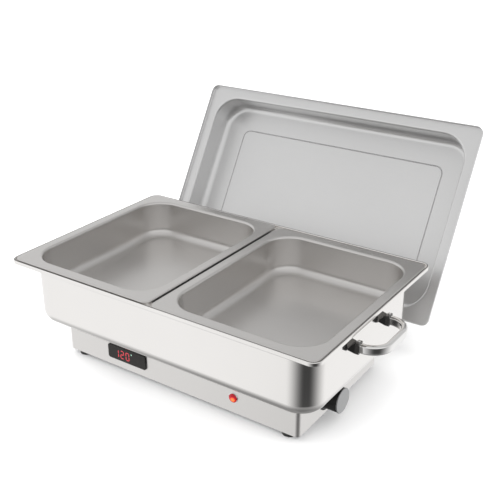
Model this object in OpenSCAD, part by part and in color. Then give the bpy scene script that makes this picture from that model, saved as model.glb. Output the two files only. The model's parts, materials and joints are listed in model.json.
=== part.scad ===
/* Electric buffet server: a heated base, a water tub, two food pans and a lid
   parked behind the tub. X runs along the length, -Y is the front, Z is up.
   The origin is on the table, midway between the four feet. */

/* [Rim of the water tub] */
// Length of the rim over its rolled lip
rim_l = 556; // [500:1:680]
// Front to back size of the rim over its rolled lip
rim_w = 354; // [330:1:440]
// Width of the rolled lip
lip_w = 3; // [2:0.5:5]
// Height of the rolled lip
lip_h = 6.5; // [5:0.5:9]
// Outside corner radius of the lip
lip_r = 15; // [8:1:20]
// How far the ledge lies below the top of the lip
ledge_drop = 4; // [3:0.5:5]
// Ledge and lip outside each end wall of the tub
ledge_end_w = 18; // [14:1:26]
// Ledge and lip outside each long wall of the tub
ledge_side_w = 21.5; // [14:0.5:28]

/* [Water tub] */
// Height of the tub from its underside to the top of its lip
tub_h = 112; // [95:1:140]
// Outside radius of the tub's upright corners
tub_r = 40; // [30:1:44]
// Outside radius between the tub's walls and its floor
tub_fillet = 20; // [12:1:26]
// Sheet thickness of the tub
tub_t = 1; // [0.8:0.1:1.5]

/* [Base] */
// Length of the base box
base_l = 442; // [400:1:540]
// Front to back size of the base box
base_w = 240; // [200:1:290]
// Height of the base box
base_h = 57; // [52:1:75]
// Outside radius of the base's upright corners
base_r = 6.5; // [2:0.5:10]
// Sheet thickness of the base
base_t = 1; // [0.8:0.1:1.5]
// Width of the base's inward flanges
base_flange = 22; // [20:1:30]
// Height of the rubber feet
foot_h = 8; // [6:0.5:14]
// Diameter of the rubber feet
foot_d = 24; // [16:1:26]
// Distance from the base's end to a foot's centre
foot_in_x = 23; // [17:1:40]
// Distance from the base's front to a foot's centre
foot_in_y = 14; // [14:0.5:17]

/* [Food pans] */
// Gap between the two pans' flanges
pan_gap = 3; // [2:0.5:6]
// Gap between a pan's flange and the tub's lip
pan_play = 1.5; // [1:0.25:3]
// Gap between the pans' walls and the tub's walls
pan_wall_play = 1; // [0.5:0.25:3]
// Depth of a pan below its flange
pan_depth = 65; // [40:1:80]
// Inside radius of a pan's upright corners
pan_r = 45; // [42:1:55]
// Outside radius between a pan's walls and its floor
pan_fillet = 15; // [8:1:25]
// Corner radius of a pan's flange
pan_corner = 12; // [6:1:16]
// Height of the left pan's turned edge
left_edge_h = 5; // [3:0.5:6]
// Height of the right pan's turned edge
right_edge_h = 3; // [3:0.5:6]
// Sheet thickness of the pans
pan_t = 0.8; // [0.6:0.1:1.2]

/* [Lid] */
// Gap between the closed lid's skirt and the lip at each end
lid_end_play = 0.5; // [0.5:0.25:3]
// Gap between the closed lid's skirt and the lip at each side
lid_side_play = 3.5; // [0.5:0.25:5]
// Height of the lid's box above its flange
lid_h = 50; // [35:1:60]
// Width of the lid's flange
lid_flange = 19; // [15:1:28]
// Depth of the lid's turned skirt
lid_skirt = 6; // [4:0.5:8]
// Corner radius of the lid's flange
lid_corner = 13; // [8:1:20]
// Outside radius of the box's upright corners
lid_r = 48; // [30:1:55]
// Outside radius between the box's walls and its panel
lid_fillet = 12; // [6:1:18]
// Distance from the box's wall to the stamped line in the panel
lid_line_in = 49; // [25:1:60]
// Width of the stamped line
lid_line_w = 2; // [1.5:0.5:4]
// Sheet thickness of the lid
lid_t = 1; // [0.8:0.1:1.2]
// Angle of the parked lid from the table
lid_lean = 59; // [55:1:70]
// Gap between the tub's rim and the lid's nearest edge
lid_behind = 12; // [10:1:30]
// Height of the parked lid's lower edge above the table
lid_low = 55; // [52:1:70]

/* [Handles] */
// Outside width of a handle
handle_span = 104; // [90:1:140]
// How far a side handle stands out of the tub's wall
handle_reach = 49; // [42:1:60]
// Outside radius of a handle's bends
handle_bend = 33; // [20:1:34]
// Thickness of a handle's bar
bar_t = 9; // [7:0.5:12]
// Height of a handle's bar
bar_h = 14; // [10:0.5:18]
// Distance from the rim's top down to the handle's middle
handle_drop = 41; // [30:1:50]

/* [Knob, lamp and display] */
// Diameter of the knob
knob_d = 37.5; // [30:0.5:42]
// Length of the knob's black body
knob_l = 21.5; // [16:0.5:28]
// Knob's centre, front to back
knob_y = -42; // [-60:1:-20]
// Knob's centre above the base's underside
knob_z = 29; // [24:1:30]
// Length of the display's frame
display_l = 78; // [60:1:100]
// Height of the display's frame
display_h = 25; // [20:1:30]
// Display's centre along the base
display_x = -94; // [-120:1:-60]
// Display's centre above the base's underside
display_z = 26; // [22:1:30]
// Lamp's centre along the base
lamp_x = 110; // [80:1:140]
// Diameter of the lamp's lens
lamp_d = 14; // [10:0.5:18]

/* [Hidden] */
$fn = 64;

// Small overlap that joins the pieces of one solid
join = 0.5;
// Heights of the main levels above the table
base_top = foot_h + base_h;
rim_top = base_top + tub_h;
ledge_z = rim_top - ledge_drop;
// Outside sizes of the tub below its ledge
tub_l = rim_l - 2 * ledge_end_w;
tub_w = rim_w - 2 * ledge_side_w;

// A screw's, stud's and nut's sizes
m4_r = 2;
m5_r = 2.5;
m4_nut_af = 7;
m5_nut_af = 8;
nut_h = 4;
screw_past = 1;
hole_play = 0.2;

// Feet, their screws and the base plate
foot_x = base_l / 2 - foot_in_x;
foot_y = base_w / 2 - foot_in_y;
foot_bore_r = 5;
foot_bore_h = 3.5;
screw_head_r = 4;
screw_head_h = 2.4;
plate_play = 0.5;
plate_l = base_l - 2 * base_t - 2 * plate_play;
plate_w = base_w - 2 * base_t - 2 * plate_play;
plate_top = foot_h + base_t;
vent_l = 44;
vent_w = 4;
vent_pitch = 12;
vent_count = 5;
vent_x = base_l / 5;

// Studs that hold the tub on the base
stud_x = base_l * 2 / 5;
stud_in_y = 13;
stud_y = base_w / 2 - stud_in_y;
stud_l = 12;

// Heater under the tub
spreader_l = 320;
spreader_w = 140;
spreader_t = 2;
spreader_r = 8;
spreader_z = base_top - spreader_t;
element_r = 4;
element_y = 40;
element_left = -110;
element_right = 130;
element_z = spreader_z - element_r;
terminal_r = 2;
terminal_l = 12;
strap_xs = [-80, 10, 100];
strap_l = 118;
strap_w = 14;
strap_t = 1.5;
strap_screw_y = 52;
strap_z = spreader_z - 2 * element_r - strap_t;
shield_l = 290;
shield_w = 140;
shield_t = 1;
shield_r = 6;
shield_z = plate_top + 25;
post_r = 4;
post_x = 130;
post_y = 60;
post_spigot_r = 2;

// Thermostat and knob: the knob's axis is level, out of the base's right end
axis_z = foot_h + knob_z;
wall_x = base_l / 2;
thermostat_l = 27;
thermostat_w = 34;
thermostat_h = 30;
bush_r = 5;
bush_out = 5.5;
dial_t = 2;
dial_r = knob_d / 2 + 4;
dial_nut_h = 3;
dial_nut_af = 14;
spindle_r = 3;
spindle_play = 0.05;
knob_gap = 4;
knob_recess_r = 11;
knob_recess_h = 6;
knob_x = wall_x + knob_gap;
knob_cap_t = 1.5;
knob_cap_d = knob_d + 1;
knob_cap_chamfer = 0.6;
spindle_in = 14;
knob_bore_l = 12;
knob_chamfer = 0.5;
bulb_r = 3;
bulb_x = 30;
bulb_l = 60;
bulb_y = -15;
clip_in = 12;
clip_w = 5;
clip_ear = 10;
clip_t = 1;
capillary_r = 1;
cutout_x = -35;
cutout_r = 8;
cutout_h = 7;
cutout_tab_l = 6;
cutout_tab_t = 2;

// Display in the base's front
display_r = 4;
display_proud = 2.5;
display_rim = 1.5;
display_neck_in = 3;
display_deep = 12;
frame_wall = 1.5;
window_t = 1.2;
board_t = 1.6;
digit_h = 15;
digit_w = 8;
digit_pitch = 11;
digits_x = -24;
segment_w = 1.8;
segment_t = 0.5;
segment_proud = 0.1;
segment_gap = 0.25;
shown = ["bc", "abged", "abcdef"];
degree_r = 1.3;

// Indicator lamp in the base's front
lamp_z = foot_h + 25.5;
lamp_bezel_t = 0.8;
lamp_bezel_r = lamp_d / 2 + 0.8;
lamp_flange_t = 1;
lamp_body_r = 4.5;
lamp_body_l = 20;
lamp_clip_t = 3;
lamp_clip_af = 14;
lamp_dome_in = 0.5;
lamp_dome_sunk = 0.6;

// Mains lead's gland in the base's back
gland_x = 90;
gland_z = foot_h + 24;
gland_r = 8;
gland_hex = 20;
gland_flange_t = 5;
gland_in = 11;
gland_out = 15;
gland_neck_r = 7.5;
gland_bore_r = 5.5;
lead_r = 3.5;
seal_in = 2;
seal_out = 16;
cap_wall = 2.5;
cap_end_t = 3;
cap_hole_r = 4;

// Terminal block, earth stud and wires on the base plate
block_pos = [40, 80];
block_l = 40;
block_w = 16;
block_h = 18;
block_hole_r = 2.5;
block_hole_z = 10;
block_ways = 4;
earth_pos = [130, 88];
earth_l = 14;
wire_r = 1.2;
wire_end_gap = 0.3;
thermostat_x = wall_x - base_t - thermostat_l;
block_front = [block_pos.x, block_pos.y - wire_r - wire_end_gap, plate_top + 10];
wires = [
    [block_front + [34, 0, 0], [150, 70, 20], [180, 0, 24],
        [thermostat_x - wire_r - wire_end_gap, knob_y - 8, axis_z - 9]],
    [[thermostat_x - wire_r - wire_end_gap, knob_y + 6, axis_z + 6],
        [170, -40, axis_z + 12],
        [element_right + terminal_l + wire_r + wire_end_gap, -element_y, element_z]],
    [[element_right + terminal_l + wire_r + wire_end_gap, element_y, element_z],
        [170, 62, 44], [162, 80, 18], [100, 62, 14], block_front + [28, 0, 0]],
    [block_front + [18, 0, 0], [60, 0, 18], [105, -70, 24],
        [lamp_x, lamp_body_l + 3 - base_w / 2, lamp_z]],
    [block_front + [8, 0, 0], [0, 0, 17], [-60, -70, 20],
        [display_x, display_deep + 3 - base_w / 2, foot_h + display_z]]];

// Food pans: outside sizes over the flange, and of the well below it
pan_l = rim_l / 2 - lip_w - pan_play - pan_gap / 2;
pan_w = rim_w - 2 * lip_w - 2 * pan_play;
pan_x = pan_gap / 2 + pan_l / 2;
well_l = 2 * (tub_l / 2 - tub_t - pan_wall_play - pan_x);
well_w = tub_w - 2 * tub_t - 2 * pan_wall_play;
well_r = pan_r + pan_t;

// Handles
socket_wall = 1.2;
socket_l = 6;
boss_l = 7;
boss_foot_l = 26;
boss_foot_h = 3;
bar_edge = 2.5;
bar_play = 0.1;
pin_r = 2;
pin_l = 22;
handle_z = rim_top - handle_drop;
leg_y = handle_span / 2 - bar_t / 2;

// Lid, and the middle of its flange's inner face when it is parked
lid_l = rim_l - 2 * lip_w - 2 * lid_end_play;
lid_w = rim_w - 2 * lip_w - 2 * lid_side_play;
box_l = lid_l - 2 * lid_flange;
box_w = lid_w - 2 * lid_flange;
lid_edge_y = rim_w / 2 + lid_behind + lid_skirt * sin(lid_lean);
lid_y = lid_edge_y + lid_w / 2 * cos(lid_lean);
lid_z = lid_low + lid_w / 2 * sin(lid_lean);
lid_line_deep = 0.4;

// Lid rests behind the tub
rest_x = 150;
rest_w = 30;
rest_t = 2;
rest_play = 1;
rest_stop = 0.2;
rest_front_h = 14;
rest_back_h = 12;
rest_foot_h = 28;
rest_foot_z = base_top + tub_fillet + 3;

// ---- Shared shapes ----

// Flat rectangle with round corners
module round_rect(l, w, r) {
    square([l - 2 * r, w], center = true);
    square([l, w - 2 * r], center = true);
    for (x = [-1, 1], y = [-1, 1])
        translate([x * (l / 2 - r), y * (w / 2 - r)]) circle(r);
}

// Carries a section round a rectangle with round corners. The section's x = 0
// is the line through the corner centres, and x = r is the outside.
module swept(l, w, r) {
    a = l / 2 - r;
    b = w / 2 - r;
    for (k = [0:3]) {
        half = k % 2 == 0 ? [a, b] : [b, a];
        rotate(90 * k) {
            translate([half.x, half.y, 0]) rotate_extrude(angle = 90) children();
            translate([half.x, 0, 0]) rotate([90, 0, 0])
                linear_extrude(2 * half.y, center = true) children();
        }
    }
}

// Half of a tray's cross-section, with a round lower corner
module filleted_section(r, h, f) {
    difference() {
        square([r, h]);
        translate([r - f, 0]) difference() {
            square([f + 1, f]);
            translate([0, f]) circle(f);
        }
    }
}

// Sheet tray with straight walls, standing on z = 0
module tray(l, w, r, h, f, t) {
    swept(l, w, r) difference() {
        filleted_section(r, h, f);
        translate([0, t]) filleted_section(r - t, h, f - t);
    }
    translate([0, 0, t / 2]) cube([l - 2 * r, w - 2 * r, t], center = true);
}

// Flat sheet frame with an opening
module sheet_frame(l, w, r, hole_l, hole_w, hole_r, t) {
    linear_extrude(t) difference() {
        round_rect(l, w, r);
        round_rect(hole_l, hole_w, hole_r);
    }
}

module hex(af, h) {
    cylinder(r = af / 2 / cos(30), h = h, $fn = 6);
}

module hex_nut(af, r, h) {
    difference() {
        hex(af, h);
        translate([0, 0, -1]) cylinder(r = r, h = h + 2);
    }
}

// Pan-head screw along +Z, its head below z = 0
module screw(r, l) {
    translate([0, 0, -join]) cylinder(r = r, h = l + join);
    translate([0, 0, -screw_head_h]) difference() {
        cylinder(r = screw_head_r, h = screw_head_h);
        translate([0, 0, -1]) cylinder(r = r * 0.8, h = 1 + screw_head_h / 2, $fn = 6);
    }
}

module at_four(x, y) {
    for (i = [-1, 1], j = [-1, 1]) translate([i * x, j * y, 0]) children();
}

// Places z = 0 on the base's front, back or right end, with +Z outwards
module on_front(x, z) {
    translate([x, -base_w / 2, z]) rotate([90, 0, 0]) children();
}

module on_back(x, z) {
    translate([x, base_w / 2, z]) rotate([-90, 0, 0]) children();
}

module on_right(y, z) {
    translate([wall_x, y, z]) rotate([90, 0, 90]) children();
}

// Unit vector
function unit(v) = v / norm(v);

// Direction of a route at its point i
function heading(route, i) = unit(
    (i > 0 ? unit(route[i] - route[i - 1]) : [0, 0, 0]) +
    (i < len(route) - 1 ? unit(route[i + 1] - route[i]) : [0, 0, 0]));

// Wire of round section, one ring of corners at each point of its route
module wire(route, r) {
    sides = 8;
    last = len(route) - 1;
    corners = [for (i = [0:last], k = [0:sides - 1])
        let (d = heading(route, i), u = unit(cross(d, [0, 0, 1])), v = cross(u, d))
        route[i] + r * (cos(360 * k / sides) * u + sin(360 * k / sides) * v)];
    skin = [for (i = [0:last - 1], k = [0:sides - 1])
        let (a = i * sides + k, b = i * sides + (k + 1) % sides)
        each [[a, b, a + sides], [b, b + sides, a + sides]]];
    ends = [[for (k = [sides - 1:-1:0]) k], [for (k = [0:sides - 1]) last * sides + k]];
    polyhedron(corners, concat(skin, ends));
}

// ---- Tub and base ----

module water_tub() {
    color("gainsboro") {
        translate([0, 0, base_top])
            tray(tub_l, tub_w, tub_r, ledge_z - base_top, tub_fillet, tub_t);
        translate([0, 0, ledge_z - tub_t])
            sheet_frame(rim_l - lip_w, rim_w - lip_w, lip_r - lip_w / 2,
                tub_l - tub_t, tub_w - tub_t, tub_r - tub_t / 2, tub_t);
        translate([0, 0, rim_top - lip_h]) swept(rim_l, rim_w, lip_r) {
            translate([lip_r - lip_w, 0]) square([lip_w, lip_h - lip_w / 2]);
            translate([lip_r - lip_w / 2, lip_h - lip_w / 2]) circle(lip_w / 2);
        }
    }
}

module base_shell() {
    color("lightgray") difference() {
        union() {
            translate([0, 0, foot_h]) sheet_frame(base_l, base_w, base_r,
                base_l - 2 * base_t, base_w - 2 * base_t, base_r - base_t, base_h);
            for (z = [plate_top, base_top - base_t]) translate([0, 0, z])
                sheet_frame(base_l - base_t, base_w - base_t, base_r - base_t / 2,
                    base_l - 2 * base_flange, base_w - 2 * base_flange, base_r,
                    base_t);
        }
        at_four(foot_x, foot_y) translate([0, 0, plate_top - 1])
            cylinder(r = m4_r + hole_play, h = base_t + 2);
        at_four(stud_x, stud_y) translate([0, 0, base_top - base_t - 1])
            cylinder(r = m5_r + hole_play, h = base_t + 2);
        on_right(knob_y, axis_z) translate([0, 0, -base_t - 1])
            cylinder(r = bush_r + hole_play, h = base_t + 2);
        on_front(display_x, foot_h + display_z) translate([0, 0, -base_t - 1])
            linear_extrude(base_t + 2)
            square([display_l - 2 * display_neck_in + 2 * hole_play,
                display_h - 2 * display_neck_in + 2 * hole_play], center = true);
        on_front(lamp_x, lamp_z) translate([0, 0, -base_t - 1])
            cylinder(r = lamp_body_r + hole_play, h = base_t + 2);
        on_back(gland_x, gland_z) translate([0, 0, -base_t - 1])
            cylinder(r = gland_r + hole_play, h = base_t + 2);
    }
}

module base_plate() {
    color("silver") translate([0, 0, foot_h]) difference() {
        linear_extrude(base_t) round_rect(plate_l, plate_w, base_r - base_t);
        at_four(foot_x, foot_y) translate([0, 0, -1])
            cylinder(r = m4_r + hole_play, h = base_t + 2);
        at_four(post_x, post_y) translate([0, 0, -1])
            cylinder(r = post_spigot_r, h = base_t + 2);
        translate([earth_pos.x, earth_pos.y, -1]) cylinder(r = m4_r, h = base_t + 2);
        for (side = [-1, 1], i = [0:vent_count - 1])
            translate([side * vent_x, (i - (vent_count - 1) / 2) * vent_pitch, -1])
                linear_extrude(base_t + 2) round_rect(vent_l, vent_w, vent_w / 2 - 0.01);
    }
}

module rubber_feet() {
    color("black") at_four(foot_x, foot_y) difference() {
        union() {
            cylinder(r1 = foot_d / 2 - 1, r2 = foot_d / 2, h = 1);
            translate([0, 0, 1]) cylinder(d = foot_d, h = foot_h - 1);
        }
        translate([0, 0, -1]) cylinder(r = foot_bore_r, h = foot_bore_h + 1);
        cylinder(r = m4_r + hole_play, h = foot_h + 1);
    }
}

module foot_screws() {
    color("dimgray") at_four(foot_x, foot_y) translate([0, 0, foot_bore_h])
        screw(m4_r, plate_top + base_t + nut_h - foot_bore_h + screw_past);
}

module foot_nuts() {
    color("silver") at_four(foot_x, foot_y) translate([0, 0, plate_top + base_t])
        hex_nut(m4_nut_af, m4_r, nut_h);
}

module tub_studs() {
    color("silver") at_four(stud_x, stud_y) translate([0, 0, base_top - stud_l])
        cylinder(r = m5_r, h = stud_l);
}

module tub_nuts() {
    color("silver") at_four(stud_x, stud_y)
        translate([0, 0, base_top - base_t - nut_h]) hex_nut(m5_nut_af, m5_r, nut_h);
}

// ---- Heater ----

module at_strap_screws() {
    for (x = strap_xs, y = [-1, 1]) translate([x, y * strap_screw_y, 0]) children();
}

module spreader_plate() {
    color("lightsteelblue") difference() {
        translate([0, 0, spreader_z]) linear_extrude(spreader_t)
            round_rect(spreader_l, spreader_w, spreader_r);
        at_strap_screws() translate([0, 0, spreader_z - 1])
            cylinder(r = m4_r, h = spreader_t + 2);
    }
}

module heating_element() {
    color("slategray") translate([0, 0, element_z]) {
        for (y = [-1, 1]) translate([element_left, y * element_y, 0])
            rotate([0, 90, 0]) {
                cylinder(r = element_r, h = element_right - element_left);
                cylinder(r = terminal_r, h = element_right - element_left + terminal_l);
            }
        translate([element_left, 0, 0]) rotate(90) rotate_extrude(angle = 180)
            translate([element_y, 0]) circle(element_r);
    }
}

module element_straps() {
    color("silver") for (x = strap_xs) difference() {
        translate([x - strap_w / 2, -strap_l / 2, strap_z])
            cube([strap_w, strap_l, strap_t]);
        for (y = [-1, 1]) translate([x, y * strap_screw_y, strap_z - 1])
            cylinder(r = m4_r, h = strap_t + 2);
    }
}

module strap_screws() {
    color("dimgray") at_strap_screws() translate([0, 0, strap_z])
        screw(m4_r, spreader_z + spreader_t - strap_z);
}

module heat_shield() {
    color("silver") difference() {
        translate([0, 0, shield_z]) linear_extrude(shield_t)
            round_rect(shield_l, shield_w, shield_r);
        at_four(post_x, post_y) translate([0, 0, shield_z - 1])
            cylinder(r = post_spigot_r, h = shield_t + 2);
    }
}

module shield_posts() {
    color("silver") at_four(post_x, post_y) {
        translate([0, 0, plate_top]) cylinder(r = post_r, h = shield_z - plate_top);
        translate([0, 0, foot_h])
            cylinder(r = post_spigot_r, h = shield_z + shield_t - foot_h);
    }
}

module thermal_cutout() {
    color("ivory") translate([cutout_x, 0, spreader_z - cutout_h]) {
        cylinder(r = cutout_r, h = cutout_h);
        translate([-strap_w / 4, -cutout_r - cutout_tab_l, cutout_h - cutout_tab_t])
            cube([strap_w / 2, 2 * (cutout_r + cutout_tab_l), cutout_tab_t]);
    }
}

// ---- Thermostat and knob ----

module thermostat_body() {
    color("antiquewhite") on_right(knob_y, axis_z) difference() {
        union() {
            translate([-thermostat_w / 2, -thermostat_h / 2, -base_t - thermostat_l])
                cube([thermostat_w, thermostat_h, thermostat_l]);
            translate([0, 0, -base_t - join])
                cylinder(r = bush_r, h = base_t + join + bush_out);
        }
        translate([0, 0, -spindle_in - 1])
            cylinder(r = spindle_r + spindle_play, h = spindle_in + bush_out + 2);
    }
}

module thermostat_nut() {
    color("silver") on_right(knob_y, axis_z) translate([0, 0, dial_t])
        hex_nut(dial_nut_af, bush_r, dial_nut_h);
}

module thermostat_spindle() {
    color("silver") on_right(knob_y, axis_z) translate([0, 0, -spindle_in])
        cylinder(r = spindle_r,
            h = spindle_in + knob_gap + knob_recess_h + knob_bore_l);
}

module thermostat_bulb() {
    color("peru") translate([bulb_x, bulb_y, spreader_z - bulb_r])
        rotate([0, 90, 0]) cylinder(r = bulb_r, h = bulb_l);
}

// Strips bent over the bulb, with an ear on each side
module bulb_clips() {
    color("silver") for (x = [bulb_x + clip_in, bulb_x + bulb_l - clip_in])
        translate([x, bulb_y, spreader_z]) rotate([90, 0, 90])
        linear_extrude(clip_w, center = true) difference() {
            union() {
                translate([-bulb_r - clip_t, -2 * bulb_r - clip_t])
                    square([2 * (bulb_r + clip_t), 2 * bulb_r + clip_t]);
                translate([-clip_ear, -clip_t]) square([2 * clip_ear, clip_t]);
            }
            translate([-bulb_r, -2 * bulb_r]) square([2 * bulb_r, 2 * bulb_r + 1]);
        }
}

module capillary_tube() {
    color("peru") wire([
        [bulb_x + bulb_l + capillary_r, bulb_y, spreader_z - bulb_r],
        [125, bulb_y, spreader_z - bulb_r],
        [165, -28, axis_z + 10],
        [thermostat_x - capillary_r, knob_y + 12, axis_z]], capillary_r);
}

module dial_flange() {
    color("black") on_right(knob_y, axis_z) difference() {
        cylinder(r = dial_r, h = dial_t);
        translate([0, 0, -1]) cylinder(r = bush_r + hole_play, h = dial_t + 2);
    }
}

module knob_body() {
    color("black") on_right(knob_y, axis_z) translate([0, 0, knob_gap]) difference() {
        union() {
            cylinder(d1 = knob_d - 2 * knob_chamfer, d2 = knob_d, h = knob_chamfer);
            translate([0, 0, knob_chamfer]) cylinder(d = knob_d, h = knob_l - knob_chamfer);
        }
        translate([0, 0, -1]) cylinder(r = knob_recess_r, h = knob_recess_h + 1);
        cylinder(r = spindle_r, h = knob_recess_h + knob_bore_l);
    }
}

module knob_cap() {
    color("darkgray") on_right(knob_y, axis_z) translate([0, 0, knob_gap + knob_l]) {
        cylinder(d = knob_cap_d, h = knob_cap_t - knob_cap_chamfer);
        translate([0, 0, knob_cap_t - knob_cap_chamfer])
            cylinder(d1 = knob_cap_d, d2 = knob_cap_d - 2 * knob_cap_chamfer,
                h = knob_cap_chamfer);
    }
}

// ---- Display and lamp ----

module on_display() {
    on_front(display_x, foot_h + display_z) children();
}

window_l = display_l - 2 * display_rim;
window_h = display_h - 2 * display_rim;
neck_l = display_l - 2 * display_neck_in;
neck_h = display_h - 2 * display_neck_in;

module display_frame() {
    color("black") on_display() difference() {
        union() {
            linear_extrude(display_proud) round_rect(display_l, display_h, display_r);
            translate([0, 0, -display_deep]) linear_extrude(display_deep + join)
                square([neck_l, neck_h], center = true);
        }
        translate([0, 0, display_proud - window_t]) linear_extrude(window_t + 1)
            round_rect(window_l, window_h, display_r - display_rim);
        translate([0, 0, -display_deep - 1])
            linear_extrude(display_deep + display_proud - window_t)
            square([neck_l - 2 * frame_wall, neck_h - 2 * frame_wall], center = true);
    }
}

// One lit bar of a figure, with pointed ends
module segment(l) {
    w = segment_w / 2;
    e = l / 2 - segment_gap;
    polygon([[-e, 0], [w - e, w], [e - w, w], [e, 0], [e - w, -w], [w - e, -w]]);
}

// A seven-bar figure, centred, with the named bars lit
module figure_bars(bars) {
    w = digit_w - segment_w;
    h = (digit_h - segment_w) / 2;
    middles = [["a", 0, h, 0], ["b", w / 2, h / 2, 90], ["c", w / 2, -h / 2, 90],
        ["d", 0, -h, 0], ["e", -w / 2, -h / 2, 90], ["f", -w / 2, h / 2, 90],
        ["g", 0, 0, 0]];
    for (m = middles) if (len(search(m[0], bars)) > 0)
        translate([m[1], m[2]]) rotate(m[3]) segment(m[3] == 0 ? w : h);
}

module lit_figures() {
    for (i = [0:len(shown) - 1])
        translate([digits_x + digit_w / 2 + i * digit_pitch, 0]) figure_bars(shown[i]);
}

module degree_dot() {
    translate([digits_x + 3 * digit_pitch + degree_r, digit_h / 2 - degree_r])
        circle(degree_r);
}

module display_window() {
    color("darkslategray") on_display() translate([0, 0, display_proud - window_t])
        difference() {
            linear_extrude(window_t)
                round_rect(window_l, window_h, display_r - display_rim);
            translate([0, 0, window_t + segment_proud - segment_t])
                linear_extrude(1) {
                    lit_figures();
                    degree_dot();
                }
        }
}

module display_digits() {
    color("red") on_display()
        translate([0, 0, display_proud + segment_proud - segment_t])
        linear_extrude(segment_t) lit_figures();
}

module degree_mark() {
    color("palegreen") on_display()
        translate([0, 0, display_proud + segment_proud - segment_t])
        linear_extrude(segment_t) degree_dot();
}

module display_board() {
    color("darkgreen") on_display() translate([0, 0, -display_deep])
        linear_extrude(board_t) square([neck_l - 2 * frame_wall - 1,
            neck_h - 2 * frame_wall - 1], center = true);
}

module lamp_bezel() {
    color("silver") on_front(lamp_x, lamp_z) difference() {
        cylinder(r = lamp_bezel_r, h = lamp_bezel_t);
        translate([0, 0, -1]) cylinder(r = lamp_body_r, h = lamp_bezel_t + 2);
    }
}

module lamp_lens() {
    dome_r = lamp_d / 2 - lamp_dome_in;
    sunk = lamp_dome_sunk * dome_r;
    color("red") on_front(lamp_x, lamp_z) translate([0, 0, lamp_bezel_t]) {
        cylinder(d = lamp_d, h = lamp_flange_t);
        translate([0, 0, lamp_flange_t - sunk]) intersection() {
            sphere(dome_r);
            translate([0, 0, sunk - lamp_flange_t / 5]) cylinder(r = dome_r, h = dome_r);
        }
    }
}

module lamp_body() {
    color("white") on_front(lamp_x, lamp_z) translate([0, 0, -lamp_body_l])
        cylinder(r = lamp_body_r, h = lamp_body_l + lamp_bezel_t);
}

module lamp_clip() {
    color("silver") on_front(lamp_x, lamp_z)
        translate([0, 0, -base_t - lamp_clip_t])
        hex_nut(lamp_clip_af, lamp_body_r, lamp_clip_t);
}

// ---- Wiring and gland ----

module terminal_block() {
    color("ivory") translate([block_pos.x, block_pos.y, plate_top])
        difference() {
            cube([block_l, block_w, block_h]);
            for (i = [0:block_ways - 1])
                translate([block_l * (i + 0.5) / block_ways, block_w / 2, block_hole_z])
                cylinder(r = block_hole_r, h = block_h);
        }
}

module earth_stud() {
    color("goldenrod") translate([earth_pos.x, earth_pos.y, foot_h]) {
        cylinder(r = m4_r, h = earth_l);
        translate([0, 0, base_t]) hex(m4_nut_af, nut_h);
    }
}

module internal_wiring() {
    color("firebrick") for (route = wires) wire(route, wire_r);
}

module gland_body() {
    color("black") on_back(gland_x, gland_z) difference() {
        union() {
            translate([0, 0, -gland_in]) cylinder(r = gland_r, h = gland_in);
            hex(gland_hex, gland_flange_t);
            cylinder(r = gland_neck_r, h = gland_out);
        }
        translate([0, 0, -gland_in - 1])
            cylinder(r = gland_bore_r, h = gland_in + gland_out + 2);
    }
}

module gland_locknut() {
    color("black") on_back(gland_x, gland_z) translate([0, 0, -base_t - nut_h])
        hex_nut(gland_hex, gland_r, nut_h);
}

module gland_seal() {
    color("gray") on_back(gland_x, gland_z) translate([0, 0, -seal_in]) difference() {
        cylinder(r = gland_bore_r, h = seal_in + seal_out);
        translate([0, 0, -1]) cylinder(r = lead_r, h = seal_in + seal_out + 2);
    }
}

module gland_cap() {
    color("black") on_back(gland_x, gland_z) translate([0, 0, gland_flange_t])
        difference() {
            depth = seal_out - gland_flange_t;
            union() {
                cylinder(r = gland_neck_r + cap_wall, h = depth);
                translate([0, 0, depth]) cylinder(r1 = gland_neck_r + cap_wall,
                    r2 = cap_hole_r + cap_wall, h = cap_end_t);
            }
            translate([0, 0, -1]) cylinder(r = gland_neck_r, h = depth + 1);
            cylinder(r = cap_hole_r, h = depth + cap_end_t + 1);
        }
}

// ---- Handles ----

// Section of a handle's bar, thickness along x
module bar_section(extra = 0) {
    round_rect(bar_t + 2 * extra, bar_h + 2 * extra, bar_edge + extra);
}

// Bent bar lying flat, from its ends at x = 0 out to x = reach
module bent_bar(reach) {
    straight = reach - handle_bend;
    half = handle_span / 2 - handle_bend;
    difference() {
        union() {
            for (y = [-leg_y, leg_y]) translate([0, y, 0]) rotate([90, 0, 90])
                linear_extrude(straight) bar_section();
            for (k = [0, 1]) translate([straight, (2 * k - 1) * half, 0])
                rotate(90 * k - 90) rotate_extrude(angle = 90)
                translate([handle_bend - bar_t / 2, 0]) bar_section();
            translate([reach - bar_t / 2, 0, 0]) rotate([90, 0, 0])
                linear_extrude(2 * half, center = true) bar_section();
        }
        bar_pins(bar_h + 2);
    }
}

// Upright pins through a bar's two ends
module bar_pins(l) {
    for (y = [-leg_y, leg_y]) translate([socket_l / 2, y, -l / 2])
        cylinder(r = pin_r, h = l);
}

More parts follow.
